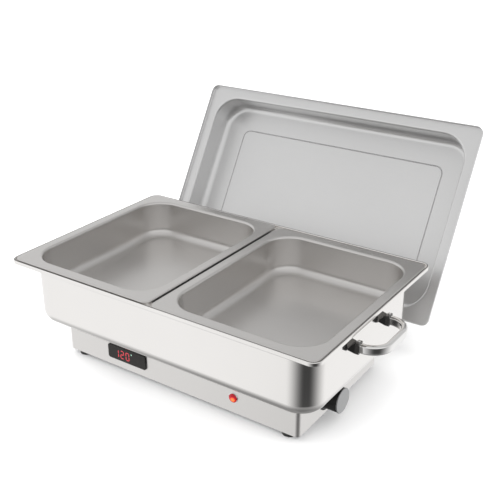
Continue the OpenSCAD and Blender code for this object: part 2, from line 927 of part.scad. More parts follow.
// Tapered boss with a socket for the bar's end, on the wall at x = 0
module bar_bracket() {
    out_t = bar_t + 2 * bar_play + 2 * socket_wall;
    out_h = bar_h + 2 * bar_play + 2 * socket_wall;
    intersection() {
        linear_extrude(out_h, center = true) polygon([[0, -boss_foot_l / 2],
            [boss_l, -out_t / 2], [boss_l, out_t / 2], [0, boss_foot_l / 2]]);
        rotate([90, 0, 0]) linear_extrude(boss_foot_l, center = true)
            polygon([[0, -boss_foot_h / 2], [boss_l, -out_h / 2],
                [boss_l, out_h / 2], [0, boss_foot_h / 2]]);
    }
    translate([boss_l, 0, 0]) difference() {
        translate([0, -out_t / 2, -out_h / 2]) cube([socket_l, out_t, out_h]);
        rotate([90, 0, 90]) linear_extrude(socket_l + 1) bar_section(bar_play);
        translate([socket_l / 2, 0, -out_h]) cylinder(r = pin_r, h = 2 * out_h);
    }
}

module bar_brackets() {
    for (y = [-leg_y, leg_y]) translate([0, y, 0]) bar_bracket();
}

// Places x = 0 on the tub's right end wall, or on its left one mirrored
module on_tub_end(side) {
    rotate(side > 0 ? 0 : 180) translate([tub_l / 2, 0, handle_z]) children();
}

module side_handle(side) {
    color("silver") on_tub_end(side) translate([boss_l, 0, 0])
        bent_bar(handle_reach - boss_l);
}

module side_brackets(side) {
    color("gray") on_tub_end(side) bar_brackets();
}

module side_pins(side) {
    color("silver") on_tub_end(side) translate([boss_l, 0, 0]) bar_pins(pin_l);
}

module handle_left() { side_handle(-1); }
module handle_right() { side_handle(1); }
module handle_brackets_left() { side_brackets(-1); }
module handle_brackets_right() { side_brackets(1); }
module handle_pins_left() { side_pins(-1); }
module handle_pins_right() { side_pins(1); }

// ---- Food pans ----

// Pan centred on x = 0, its turned edge standing on the ledge
module food_pan(edge_h) {
    color("silver") translate([0, 0, ledge_z + edge_h]) {
        translate([0, 0, -pan_depth])
            tray(well_l, well_w, well_r, pan_depth, pan_fillet, pan_t);
        translate([0, 0, -pan_t]) sheet_frame(pan_l - pan_t, pan_w - pan_t,
            pan_corner - pan_t / 2, well_l - pan_t, well_w - pan_t,
            well_r - pan_t / 2, pan_t);
        translate([0, 0, -edge_h]) swept(pan_l, pan_w, pan_corner)
            translate([pan_corner - pan_t, 0]) square([pan_t, edge_h]);
    }
}

module food_pan_left() { translate([-pan_x, 0, 0]) food_pan(left_edge_h); }
module food_pan_right() { translate([pan_x, 0, 0]) food_pan(right_edge_h); }

// ---- Lid and its rests ----

// Puts the closed lid's frame, its flange's inner face on z = 0, behind the tub
module parked() {
    translate([0, lid_y, lid_z]) rotate([-180 + lid_lean, 0, 0]) children();
}

// Where a point of the closed lid's frame lies when the lid is parked
function parked_at(y, z) = [
    lid_y - y * cos(lid_lean) + z * sin(lid_lean),
    lid_z - y * sin(lid_lean) - z * cos(lid_lean)];

module panel_line(t) {
    l = box_l - 2 * lid_line_in;
    w = box_w - 2 * lid_line_in;
    sheet_frame(l + 2 * lid_line_w, w + 2 * lid_line_w, lid_corner + lid_line_w,
        l, w, lid_corner, t);
}

module lid_shell() {
    color("gainsboro") parked() difference() {
        union() {
            translate([0, 0, lid_h]) mirror([0, 0, 1])
                tray(box_l, box_w, lid_r, lid_h, lid_fillet, lid_t);
            sheet_frame(lid_l - lid_t, lid_w - lid_t, lid_corner - lid_t / 2,
                box_l - lid_t, box_w - lid_t, lid_r - lid_t / 2, lid_t);
            translate([0, 0, -lid_skirt]) swept(lid_l, lid_w, lid_corner)
                translate([lid_corner - lid_t, 0]) square([lid_t, lid_skirt + lid_t]);
            translate([0, 0, lid_h - lid_t / 2]) panel_line(lid_t / 2 + lid_line_deep);
        }
        translate([0, 0, lid_h - lid_t - 1]) panel_line(1 + lid_line_deep);
    }
}

// Stands the handle's frame on the lid's panel, with its span along X
module on_lid() {
    parked() translate([0, 0, lid_h]) rotate([0, -90, 90]) children();
}

module lid_handle() {
    color("silver") on_lid() translate([boss_l, 0, 0]) bent_bar(handle_reach - boss_l);
}

module lid_handle_feet() {
    color("gray") on_lid() bar_brackets();
}

module lid_handle_pins() {
    color("silver") on_lid() translate([boss_l, 0, 0]) bar_pins(pin_l);
}

// Side view of a lid rest, y across and z up: a foot on the tub's back wall, an
// arm, and a channel for the lid's lower edge
module lid_rest_side() {
    wall_y = tub_w / 2;
    stop_y = lid_w / 2 + rest_stop;
    open_y = stop_y - rest_front_h;
    front_z = -lid_skirt - rest_play;
    back_z = lid_t + rest_play;
    polygon([
        [wall_y, rest_foot_z + rest_foot_h],
        [wall_y, rest_foot_z],
        parked_at(open_y + 2 * rest_t, front_z - rest_t),
        parked_at(stop_y + rest_t, front_z - rest_t),
        parked_at(stop_y + rest_t, back_z + rest_t),
        parked_at(stop_y - rest_back_h, back_z + rest_t),
        parked_at(stop_y - rest_back_h, back_z),
        parked_at(stop_y, back_z),
        parked_at(stop_y, front_z),
        parked_at(open_y, front_z),
        parked_at(open_y, front_z - rest_t),
        [wall_y + rest_t, rest_foot_z + 1.5 * rest_t],
        [wall_y + rest_t, rest_foot_z + rest_foot_h]]);
}

module lid_rest(x) {
    color("silver") translate([x, 0, 0]) rotate([90, 0, 90])
        linear_extrude(rest_w, center = true) lid_rest_side();
}

module lid_rest_left() { lid_rest(-rest_x); }
module lid_rest_right() { lid_rest(rest_x); }

water_tub();
base_shell();
base_plate();
rubber_feet();
foot_screws();
foot_nuts();
tub_studs();
tub_nuts();
spreader_plate();
heating_element();
element_straps();
strap_screws();
heat_shield();
shield_posts();
thermostat_body();
thermostat_nut();
thermostat_spindle();
thermostat_bulb();
bulb_clips();
capillary_tube();
thermal_cutout();
dial_flange();
knob_body();
knob_cap();
display_frame();
display_window();
display_digits();
degree_mark();
display_board();
lamp_bezel();
lamp_lens();
lamp_body();
lamp_clip();
terminal_block();
earth_stud();
internal_wiring();
gland_body();
gland_locknut();
gland_seal();
gland_cap();
handle_left();
handle_right();
handle_brackets_left();
handle_brackets_right();
handle_pins_left();
handle_pins_right();
lid_rest_left();
lid_rest_right();
food_pan_left();
food_pan_right();
lid_shell();
lid_handle();
lid_handle_feet();
lid_handle_pins();
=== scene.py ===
import json
import math

import bmesh
import bpy
from mathutils import Matrix, Vector

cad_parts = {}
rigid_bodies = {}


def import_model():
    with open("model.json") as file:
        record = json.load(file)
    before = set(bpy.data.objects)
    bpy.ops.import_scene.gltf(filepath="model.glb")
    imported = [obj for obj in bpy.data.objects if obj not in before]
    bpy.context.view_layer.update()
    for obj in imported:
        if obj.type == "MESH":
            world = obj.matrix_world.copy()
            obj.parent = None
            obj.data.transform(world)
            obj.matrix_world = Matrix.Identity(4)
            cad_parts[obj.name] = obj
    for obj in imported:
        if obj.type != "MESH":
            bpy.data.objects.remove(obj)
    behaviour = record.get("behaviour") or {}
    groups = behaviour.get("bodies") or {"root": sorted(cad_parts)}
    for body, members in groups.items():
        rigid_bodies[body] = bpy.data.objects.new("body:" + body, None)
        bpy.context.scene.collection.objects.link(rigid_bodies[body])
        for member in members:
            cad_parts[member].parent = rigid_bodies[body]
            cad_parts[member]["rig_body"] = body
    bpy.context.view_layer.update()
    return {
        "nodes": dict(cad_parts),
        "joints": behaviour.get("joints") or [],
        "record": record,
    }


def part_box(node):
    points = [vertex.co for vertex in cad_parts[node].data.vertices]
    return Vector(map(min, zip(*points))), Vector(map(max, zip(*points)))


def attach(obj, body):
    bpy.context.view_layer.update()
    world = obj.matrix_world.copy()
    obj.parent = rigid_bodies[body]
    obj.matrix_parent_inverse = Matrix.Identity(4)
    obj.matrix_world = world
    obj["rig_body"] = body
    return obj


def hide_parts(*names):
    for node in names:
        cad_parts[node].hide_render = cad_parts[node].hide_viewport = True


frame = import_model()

# Sizes that the pieces' boxes don't give, in metres
TUB_SHEET = 0.001
TUB_CORNER = 0.040
TUB_FILLET = 0.020
LIP_WIDTH = 0.003
LIP_HEIGHT = 0.0065
LIP_CORNER = 0.015
LEDGE_DROP = 0.004
LEDGE_END = 0.018
LEDGE_SIDE = 0.0215
BASE_CORNER = 0.0065
BASE_SHEET = 0.001
BASE_FLANGE = 0.022
FOOT_RADIUS = 0.012
PAN_SHEET = 0.0008
PAN_CORNER = 0.012
PAN_FILLET = 0.015
WELL_CORNER = 0.0458
WELL_LENGTH = 0.241
WELL_WIDTH = 0.307
LID_WIDTH = 0.341
LID_SHEET = 0.001
LID_HEIGHT = 0.050
LID_SKIRT = 0.006
LID_FLANGE = 0.019
LID_CORNER = 0.013
LID_WELL_CORNER = 0.048
LID_FILLET = 0.012
LINE_INSET = 0.049
LINE_WIDTH = 0.002
LINE_DEPTH = 0.0008
HANDLE_SPAN = 0.104
HANDLE_REACH = 0.049
HANDLE_BEND = 0.033
BAR_THICK = 0.009
BAR_HIGH = 0.014
BAR_EDGE = 0.0029
BOSS_LENGTH = 0.007
SOCKET_LENGTH = 0.006
PIN_RADIUS = 0.002
PIN_LENGTH = 0.022

# The studio: where the dark card stands and how far it reaches, in radians, and
# how bright the room is for all but the mirrors
CARD_TURN = math.radians(-39)
CARD_CORE = math.radians(8)
CARD_REACH = math.radians(92)
ROOM_STRENGTH = 1.85
# Ramps of the mirrored room: where each starts and ends along its direction, and
# its value there. The first five run along an axis, the last one round the room.
CARD_FOOT = (-0.88, -0.55, 0.70, 0.055)
CARD_TOP = (-0.15, 0.15, 0.0, 1.0)
FLOOR_FADE = (-0.92, -0.55, 0.28, 1.0)
CEILING_FADE = (0.05, 0.95, 1.0, 0.72)
BACK_START = (-0.1, 0.3, 0.0, 1.0)
BACK_FADE = (math.radians(95), math.radians(145), 0.74, 0.90)

# Camera: sensor and focal length in millimetres, its place and its turn
CAMERA_SENSOR = 36
CAMERA_LENS = 60.1
CAMERA_PLACE = (0.701, -0.949, 0.727)
CAMERA_TURN = (math.radians(65.77), 0, math.radians(34.12))
# Floor: half its side, its drop below the feet, its paint and its roughness
FLOOR_HALF = 6
FLOOR_DROP = 0.0002
FLOOR_PAINT = (0.93, 0.93, 0.93, 1)
FLOOR_ROUGHNESS = 0.9
# Key light: its place, what it's turned to, its side and its power in watts
KEY_PLACE = (-1.2, -0.9, 2.2)
KEY_AIM = (0, 0, 0.1)
KEY_SIDE = 1.4
KEY_POWER = 14

# The lit lamp: shift of its glow to the right and up, and the glow's reach
GLOW_RIGHT = 0.0015
GLOW_UP = -0.001
GLOW_REACH = 0.0055

# How finely round corners are divided, and how far a flat reaches past a bend
# before its support line
CORNER_STEPS = 16
BEND_STEPS = 7
HOLD = 0.0006
# How far a hole's cutter reaches to each side of a wall
CUTTER_REACH = 0.004
# Reach of a flat sheet past the bend into a wall
FLAT_REACH = 0.006
# Points nearer than this become one, and edges shorter than the next are dropped
SAME_POINT = 0.000004
STUB_EDGE = 0.000002
# Turns between faces: flat enough to merge, sharp enough to round, and kept sharp
FLAT_TURN = math.radians(0.5)
ROUNDED_TURN = math.radians(30)
SHARP_TURN = math.radians(38)
# Least radius of a ring's corner, and the radius at a turned piece's axis
LEAST_RADIUS = 0.0004
AXIS_RADIUS = 0.0002
# Bends between wall and flange: under the flange, under a pan's, and on top
UNDER_BEND = 0.003
PAN_UNDER_BEND = 0.0032
TOP_BEND = 0.004
# Holes through the base: the node that passes, how far the hole's edge lies inside
# that node's box (outside if below zero), and its corner radius, or None if round
BASE_HOLES = (
    ("display_board", -0.0022, 0.0005), ("lamp_body", -0.0002, None),
    ("thermostat_nut", 0.0018, None), ("gland_locknut", 0.0014, None))


# ---- Mesh making ----

def ring(length, width, radius, z):
    """Points of a level rectangle with round corners, anticlockwise from +X."""
    points = []
    for quarter, (sx, sy) in enumerate(((1, 1), (-1, 1), (-1, -1), (1, -1))):
        middle = Vector((sx * (length / 2 - radius), sy * (width / 2 - radius), z))
        for step in range(CORNER_STEPS + 1):
            turn = math.pi / 2 * (quarter + step / CORNER_STEPS)
            points.append(middle + radius * Vector((math.cos(turn), math.sin(turn), 0)))
    return points


def bent(corners):
    """Line through corners (x, z, bend radius), with an arc in place of each bend."""
    line = []
    for index, (x, z, radius) in enumerate(corners):
        here = Vector((x, z))
        if radius == 0:
            line.append(here)
            continue
        back = (Vector(corners[index - 1][:2]) - here).normalized()
        onward = (Vector(corners[index + 1][:2]) - here).normalized()
        half = back.angle(onward) / 2
        cut = radius / math.tan(half)
        centre = here + (back + onward).normalized() * (radius / math.sin(half))
        first, last = here + back * cut - centre, here + onward * cut - centre
        line.append(centre + first + back * HOLD)
        line.extend(centre + radius * first.slerp(last, step / BEND_STEPS).normalized()
                    for step in range(BEND_STEPS + 1))
        line.append(centre + last + onward * HOLD)
    return line


def rings_of(base, corners):
    """Rings along a bent line, whose x is measured outwards from a base outline."""
    length, width, radius = base
    return [ring(length + 2 * x, width + 2 * x, max(radius + x, LEAST_RADIUS), z)
            for x, z in bent(corners)]


def clean(mesh, matrix=None):
    """Joins what touches, turns faces outwards and keeps sharp edges sharp."""
    work = bmesh.new()
    work.from_mesh(mesh)
    if matrix is not None:
        work.transform(matrix)
    bmesh.ops.remove_doubles(work, verts=work.verts, dist=SAME_POINT)
    bmesh.ops.dissolve_degenerate(work, edges=work.edges, dist=STUB_EDGE)
    bmesh.ops.recalc_face_normals(work, faces=work.faces)
    for face in work.faces:
        face.smooth = True
    for edge in work.edges:
        edge.smooth = edge.is_manifold and edge.calc_face_angle() < SHARP_TURN
    work.to_mesh(mesh)
    work.free()


def finished(name, mesh, material, matrix=None):
    """Object of a mesh, with clean faces and one material."""
    clean(mesh, matrix)
    mesh.materials.clear()
    mesh.materials.append(material)
    mesh.name = name
    piece = bpy.data.objects.new(name, mesh)
    bpy.context.scene.collection.objects.link(piece)
    return piece


def loft(name, rings, material, matrix=None, closed=False):
    """Closed skin through rings: capped at both ends, or joined end to end."""
    count = len(rings[0])
    faces = []
    for low in range(len(rings) if closed else len(rings) - 1):
        high = (low + 1) % len(rings)
        for near in range(count):
            far = (near + 1) % count
            faces.append((low * count + near, low * count + far,
                          high * count + far, high * count + near))
    if not closed:
        faces.append(tuple(reversed(range(count))))
        faces.append(tuple(range((len(rings) - 1) * count, len(rings) * count)))
    mesh = bpy.data.meshes.new(name)
    mesh.from_pydata([point for row in rings for point in row], [], faces)
    return finished(name, mesh, material, matrix)


def turned(name, corners, material, matrix):
    """Round piece from a bent line of (radius, height), capped at both ends."""
    rings = [ring(2 * radius, 2 * radius, radius, z) for radius, z in bent(corners)]
    return loft(name, rings, material, matrix)


def eased(node, name, width, material):
    """Copy of a CAD node's mesh with its sharp edges rounded."""
    mesh = frame["nodes"][node].data.copy()
    work = bmesh.new()
    work.from_mesh(mesh)
    bmesh.ops.remove_doubles(work, verts=work.verts, dist=SAME_POINT)
    bmesh.ops.dissolve_limit(work, angle_limit=FLAT_TURN, verts=work.verts,
                             edges=work.edges)
    sharp = [edge for edge in work.edges
             if edge.is_manifold and edge.calc_face_angle() > ROUNDED_TURN]
    bmesh.ops.bevel(work, geom=sharp, offset=width, segments=3, profile=0.5,
                    affect="EDGES", clamp_overlap=True)
    work.to_mesh(mesh)
    work.free()
    piece = finished(name, mesh, material)
    add_weighted_normals(piece)
    return keep(piece, node)


def add_weighted_normals(piece):
    """Lets the large flat faces decide the shading beside their rounded edges."""
    modifier = piece.modifiers.new("flat_shading", "WEIGHTED_NORMAL")
    modifier.keep_sharp = True
    bake_modifiers(piece)


def bake_modifiers(piece):
    """Turns what a piece's modifiers make into its own mesh, and removes them."""
    depsgraph = bpy.context.evaluated_depsgraph_get()
    made = bpy.data.meshes.new_from_object(piece.evaluated_get(depsgraph),
                                           depsgraph=depsgraph)
    piece.modifiers.clear()
    piece.data = made
    return piece


def keep(piece, *nodes):
    """Rides a piece on the body of the nodes that it stands for, and hides those nodes."""
    body = frame["nodes"][nodes[0]]["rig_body"]
    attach(piece, body)
    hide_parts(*nodes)
    return piece


def slot_of(node):
    """The record's material slot of a node."""
    return next(row["material_slot"] for row in frame["record"]["subparts"]
                if row["node"] == node)


# ---- Node trees ----

def add(tree, kind, inputs=None, **settings):
    """New node with its settings made, and inputs set or linked by name or place."""
    made = tree.nodes.new(kind)
    for key, value in settings.items():
        setattr(made, key, value)
    for key, value in (inputs or {}).items():
        if isinstance(value, bpy.types.NodeSocket):
            tree.links.new(value, made.inputs[key])
        else:
            made.inputs[key].default_value = value
    return made


def new_group(name, kind, inputs, outputs):
    """Empty node group with named sockets, and its two end nodes."""
    tree = bpy.data.node_groups.new(name, kind)
    for label, socket, value in inputs:
        made = tree.interface.new_socket(label, in_out="INPUT", socket_type=socket)
        if value is not None:
            made.default_value = value
    for label, socket in outputs:
        tree.interface.new_socket(label, in_out="OUTPUT", socket_type=socket)
    return tree, add(tree, "NodeGroupInput").outputs, add(tree, "NodeGroupOutput")


def path_tree():
    """Bar or wire along a line of edges, with rounded bends and a rounded section."""
    tree, given, end = new_group("bar_along_path", "GeometryNodeTree", [
        ("Geometry", "NodeSocketGeometry", None),
        ("Width", "NodeSocketFloat", 0.01), ("Height", "NodeSocketFloat", 0.01),
        ("Edge radius", "NodeSocketFloat", 0.002),
        ("Bend radius", "NodeSocketFloat", 0.02),
        ("Bend steps", "NodeSocketInt", 20), ("Edge steps", "NodeSocketInt", 5),
        ("Material", "NodeSocketMaterial", None)], [("Geometry", "NodeSocketGeometry")])
    line = add(tree, "GeometryNodeMeshToCurve", {0: given["Geometry"]})
    bends = add(tree, "GeometryNodeFilletCurve", {
        "Curve": line.outputs[0], "Count": given["Bend steps"],
        "Radius": given["Bend radius"], "Limit Radius": True}, mode="POLY")
    level = add(tree, "GeometryNodeSetCurveNormal", {"Curve": bends.outputs[0]},
                mode="Z_UP")
    section = add(tree, "GeometryNodeCurvePrimitiveQuadrilateral", {
        "Width": given["Width"], "Height": given["Height"]}, mode="RECTANGLE")
    rounded = add(tree, "GeometryNodeFilletCurve", {
        "Curve": section.outputs[0], "Count": given["Edge steps"],
        "Radius": given["Edge radius"], "Limit Radius": True}, mode="POLY")
    skin = add(tree, "GeometryNodeCurveToMesh", {
        "Curve": level.outputs[0], "Profile Curve": rounded.outputs[0],
        "Fill Caps": True})
    real = add(tree, "GeometryNodeRealizeInstances", {0: skin.outputs[0]})
    coat = add(tree, "GeometryNodeSetMaterial", {
        "Geometry": real.outputs[0], "Material": given["Material"]})
    tree.links.new(coat.outputs[0], end.inputs[0])
    return tree


def repeat_tree():
    """One small piece repeated at every point of a mesh."""
    tree, given, end = new_group("piece_at_points", "GeometryNodeTree", [
        ("Geometry", "NodeSocketGeometry", None), ("Piece", "NodeSocketObject", None),
        ("Turn", "NodeSocketVector", (0, 0, 0)),
        ("Material", "NodeSocketMaterial", None)], [("Geometry", "NodeSocketGeometry")])
    points = add(tree, "GeometryNodeMeshToPoints", {"Mesh": given["Geometry"]})
    piece = add(tree, "GeometryNodeObjectInfo", {"Object": given["Piece"]})
    turn = add(tree, "FunctionNodeEulerToRotation", {"Euler": given["Turn"]})
    spread = add(tree, "GeometryNodeInstanceOnPoints", {
        "Points": points.outputs[0], "Instance": piece.outputs["Geometry"],
        "Rotation": turn.outputs[0]})
    real = add(tree, "GeometryNodeRealizeInstances", {0: spread.outputs[0]})
    coat = add(tree, "GeometryNodeSetMaterial", {
        "Geometry": real.outputs[0], "Material": given["Material"]})
    tree.links.new(coat.outputs[0], end.inputs[0])
    return tree


def grown(name, points, edges, tree, values, matrix=None):
    """Mesh that a geometry tree grows on points and edges, as a finished piece."""
    mesh = bpy.data.meshes.new(name)
    mesh.from_pydata(points, edges, [])
    seed = bpy.data.objects.new(name, mesh)
    bpy.context.scene.collection.objects.link(seed)
    modifier = seed.modifiers.new("grow", "NODES")
    modifier.node_group = tree
    for item in tree.interface.items_tree:
        if item.in_out == "INPUT" and item.name in values:
            modifier[item.identifier] = values[item.name]
    bake_modifiers(seed)
    made = seed.data.copy()
    bpy.data.objects.remove(seed)
    return finished(name, made, values["Material"], matrix)


def bar(name, route, tree, material, matrix=None, width=BAR_THICK, height=BAR_HIGH,
        edge=BAR_EDGE, bend=HANDLE_BEND - BAR_THICK / 2):
    """Bar or wire along the corners of its route."""
    edges = [(index, index + 1) for index in range(len(route) - 1)]
    return grown(name, route, edges, tree, {
        "Width": width, "Height": height, "Edge radius": edge, "Bend radius": bend,
        "Material": material}, matrix)


def repeated(name, sample, places, tree, material, matrix=None, turn=(0, 0, 0)):
    """Copies of a sample piece at places, as one mesh; the sample is removed."""
    made = grown(name, places, [], tree, {
        "Piece": sample, "Turn": turn, "Material": material}, matrix)
    bpy.data.objects.remove(sample)
    return made


# ---- Shader groups ----

def finish_group():
    """Worked metal: drawn grain, soft marks and a colour that drifts a little."""
    tree, given, end = new_group("worked_metal", "ShaderNodeTree", [
        ("Vector", "NodeSocketVector", None),
        ("Colour", "NodeSocketColor", (0.6, 0.6, 0.6, 1)),
        ("Grain stretch", "NodeSocketVector", (60, 1600, 1600)),
        ("Grain", "NodeSocketFloat", 0.05), ("Marks", "NodeSocketFloat", 0.03),
        ("Roughness", "NodeSocketFloat", 0.25)],
        [("Colour", "NodeSocketColor"), ("Roughness", "NodeSocketFloat"),
         ("Height", "NodeSocketFloat")])
    stretched = add(tree, "ShaderNodeVectorMath", {
        0: given["Vector"], 1: given["Grain stretch"]}, operation="MULTIPLY")
    grain = add(tree, "ShaderNodeTexNoise", {
        "Vector": stretched.outputs[0], "Scale": 1.0, "Detail": 3.0,
        "Roughness": 0.6})
    marks = add(tree, "ShaderNodeTexNoise", {
        "Vector": given["Vector"], "Scale": 9.0, "Detail": 4.0, "Roughness": 0.55})
    centred = add(tree, "ShaderNodeMath", {0: grain.outputs["Fac"], 1: 0.5},
                  operation="SUBTRACT").outputs[0]
    drift = add(tree, "ShaderNodeMath", {0: marks.outputs["Fac"], 1: 0.5},
                operation="SUBTRACT").outputs[0]
    grained = add(tree, "ShaderNodeMath", {0: centred, 1: given["Grain"], 2: 1.0},
                  operation="MULTIPLY_ADD").outputs[0]
    toned = add(tree, "ShaderNodeMath", {0: drift, 1: given["Marks"], 2: grained},
                operation="MULTIPLY_ADD").outputs[0]
    colour = add(tree, "ShaderNodeVectorMath", {0: given["Colour"], "Scale": toned},
                 operation="SCALE").outputs[0]
    rougher = add(tree, "ShaderNodeMath", {
        0: drift, 1: given["Marks"], 2: given["Roughness"]},
        operation="MULTIPLY_ADD").outputs[0]
    rough = add(tree, "ShaderNodeMath", {0: centred, 1: given["Grain"], 2: rougher},
                operation="MULTIPLY_ADD", use_clamp=True).outputs[0]
    tree.links.new(colour, end.inputs["Colour"])
    tree.links.new(rough, end.inputs["Roughness"])
    tree.links.new(grain.outputs["Fac"], end.inputs["Height"])
    return tree


def moulded_group():
    """Moulded surface: fine grain, a little dust and uneven sheen."""
    tree, given, end = new_group("moulded_skin", "ShaderNodeTree", [
        ("Vector", "NodeSocketVector", None),
        ("Colour", "NodeSocketColor", (0.1, 0.1, 0.1, 1)),
        ("Dust colour", "NodeSocketColor", (0.4, 0.39, 0.37, 1)),
        ("Dust", "NodeSocketFloat", 0.05), ("Grain scale", "NodeSocketFloat", 2500.0),
        ("Unevenness", "NodeSocketFloat", 0.1), ("Roughness", "NodeSocketFloat", 0.4)],
        [("Colour", "NodeSocketColor"), ("Roughness", "NodeSocketFloat"),
         ("Height", "NodeSocketFloat")])
    grain = add(tree, "ShaderNodeTexNoise", {
        "Vector": given["Vector"], "Scale": given["Grain scale"], "Detail": 2.0})
    patches = add(tree, "ShaderNodeTexNoise", {
        "Vector": given["Vector"], "Scale": 60.0, "Detail": 5.0, "Roughness": 0.6})
    dusty = add(tree, "ShaderNodeMapRange", {
        "Value": patches.outputs["Fac"], "From Min": 0.45, "From Max": 0.85,
        "To Min": 0.0, "To Max": given["Dust"]})
    colour = add(tree, "ShaderNodeMix", {
        0: dusty.outputs[0], 6: given["Colour"], 7: given["Dust colour"]},
        data_type="RGBA")
    drift = add(tree, "ShaderNodeMath", {0: patches.outputs["Fac"], 1: 0.5},
                operation="SUBTRACT").outputs[0]
    rough = add(tree, "ShaderNodeMath", {
        0: drift, 1: given["Unevenness"], 2: given["Roughness"]},
        operation="MULTIPLY_ADD", use_clamp=True).outputs[0]
    tree.links.new(colour.outputs[2], end.inputs["Colour"])
    tree.links.new(rough, end.inputs["Roughness"])
    tree.links.new(grain.outputs["Fac"], end.inputs["Height"])
    return tree


# ---- Materials ----

def material_with(name, group, values, bump, **constants):
    """Principled material fed by a shader group on object coordinates."""
    material = bpy.data.materials.new(name)
    material.use_nodes = True
    tree = material.node_tree
    tree.nodes.clear()
    where = add(tree, "ShaderNodeTexCoord").outputs["Object"]
    skin = add(tree, "ShaderNodeGroup", node_tree=group)
    tree.links.new(where, skin.inputs["Vector"])
    for key, value in values.items():
        skin.inputs[key].default_value = value
    relief = add(tree, "ShaderNodeBump", {
        "Strength": 1.0, "Distance": bump, "Height": skin.outputs["Height"]})
    shader = add(tree, "ShaderNodeBsdfPrincipled", {
        "Base Color": skin.outputs["Colour"], "Roughness": skin.outputs["Roughness"],
        "Normal": relief.outputs[0]})
    for key, value in constants.items():
        shader.inputs[key.replace("_", " ")].default_value = value
    end = add(tree, "ShaderNodeOutputMaterial", {"Surface": shader.outputs[0]})
    end.is_active_output = True
    return material


def grey(value, warmth=0.0):
    """Grey colour, a little warmer or cooler."""
    return (value * (1 + warmth), value, value * (1 - warmth), 1)


def metals(group):
    """Every metal finish, by the name of its slot in the record."""
    def metal(name, colour, roughness, grain, marks, stretch, bump=0.000002):
        return material_with(name, group, {
            "Colour": colour, "Roughness": roughness, "Grain": grain, "Marks": marks,
            "Grain stretch": stretch}, bump, Metallic=1.0)
    along_x, all_ways = (40, 2500, 2500), (900, 900, 900)
    return {
        "tub_steel": metal("tub_steel", grey(0.84, 0.022), 0.12, 0.03, 0.05, along_x),
        "base_steel": metal("base_steel", grey(0.74, 0.022), 0.36, 0.04, 0.06, along_x),
        "pan_steel": metal("pan_steel", grey(0.62, 0.022), 0.30, 0.05, 0.08, along_x),
        "lid_steel": metal("lid_steel", grey(0.69, 0.002), 0.34, 0.05, 0.07, along_x),
        "handle_chrome": metal("handle_chrome", grey(0.84, 0.01), 0.08, 0.02, 0.04,
                               all_ways),
        # The feet's steel is painted dark (grey 0.20). This is a painted reflection: it stands
        # in for the dark surroundings that the bright steel's faces mirror.
        "bracket_steel": metal("bracket_steel", grey(0.20, 0.01), 0.14, 0.06, 0.06,
                               all_ways),
        "zinc_steel": metal("zinc_steel", grey(0.55, 0.01), 0.35, 0.15, 0.2, all_ways),
        "galvanised_sheet": metal("galvanised_sheet", grey(0.50, -0.01), 0.42, 0.25,
                                  0.35, (150, 150, 150)),
        "aluminium_sheet": metal("aluminium_sheet", grey(0.66, -0.01), 0.33, 0.15, 0.12,
                                 along_x),
        "element_sheath": metal("element_sheath", (0.16, 0.14, 0.13, 1), 0.5, 0.2, 0.5,
                                all_ways, 0.00002),
        "copper": metal("copper", (0.72, 0.36, 0.22, 1), 0.3, 0.1, 0.3, all_ways),
        "brass": metal("brass", (0.75, 0.56, 0.25, 1), 0.28, 0.1, 0.2, all_ways),
        "knob_grey": metal("knob_grey", grey(0.40, -0.005), 0.36, 0.12, 0.06,
                           (1800, 1800, 1800)),
    }


def mouldings(group):
    """Every moulded, rubber, glass and ceramic finish, by the name of its slot."""
    def moulded(name, colour, roughness, scale=2500.0, dust=0.03, bump=0.00002,
                **constants):
        return material_with(name, group, {
            "Colour": colour, "Roughness": roughness, "Grain scale": scale,
            "Dust": dust}, bump, **constants)
    return {
        "foot_rubber": moulded("foot_rubber", grey(0.012), 0.55, 1500.0, 0.10),
        "seal_rubber": moulded("seal_rubber", grey(0.05), 0.65, 1500.0, 0.10),
        "knob_black": moulded("knob_black", grey(0.006, 0.05), 0.42, 3000.0, 0.02,
                              Specular_IOR_Level=0.25),
        "frame_black": moulded("frame_black", grey(0.010, 0.06), 0.16, 2500.0, 0.02,
                               0.000003, Specular_IOR_Level=0.3),
        "window_black": moulded("window_black", grey(0.012, 0.08), 0.07, 1500.0, 0.01,
                                0.0000005, Specular_IOR_Level=0.22),
        "digit_red": moulded("digit_red", (0.30, 0.02, 0.03, 1), 0.4, 2500.0, 0.0,
                             Emission_Color=(1.0, 0.055, 0.09, 1),
                             Emission_Strength=0.34),
        "mark_green": moulded("mark_green", (0.25, 0.45, 0.35, 1), 0.4, 2500.0, 0.0,
                              Emission_Color=(0.35, 0.60, 0.48, 1),
                              Emission_Strength=0.15),
        "board_green": moulded("board_green", (0.02, 0.12, 0.05, 1), 0.3),
        "lens_red": moulded("lens_red", (0.34, 0.004, 0.015, 1), 0.08, 900.0, 0.0,
                            0.000004, Specular_IOR_Level=0.35),
        "lamp_white": moulded("lamp_white", grey(0.62, 0.03), 0.45),
        "thermostat_cream": moulded("thermostat_cream", (0.62, 0.55, 0.40, 1), 0.45),
        "block_ceramic": moulded("block_ceramic", grey(0.72, 0.05), 0.25, 700.0, 0.08),
        "wire_red": moulded("wire_red", (0.38, 0.03, 0.03, 1), 0.5),
        "gland_black": moulded("gland_black", grey(0.014), 0.42, 2000.0, 0.05),
    }


# ---- Sheet metal pieces ----

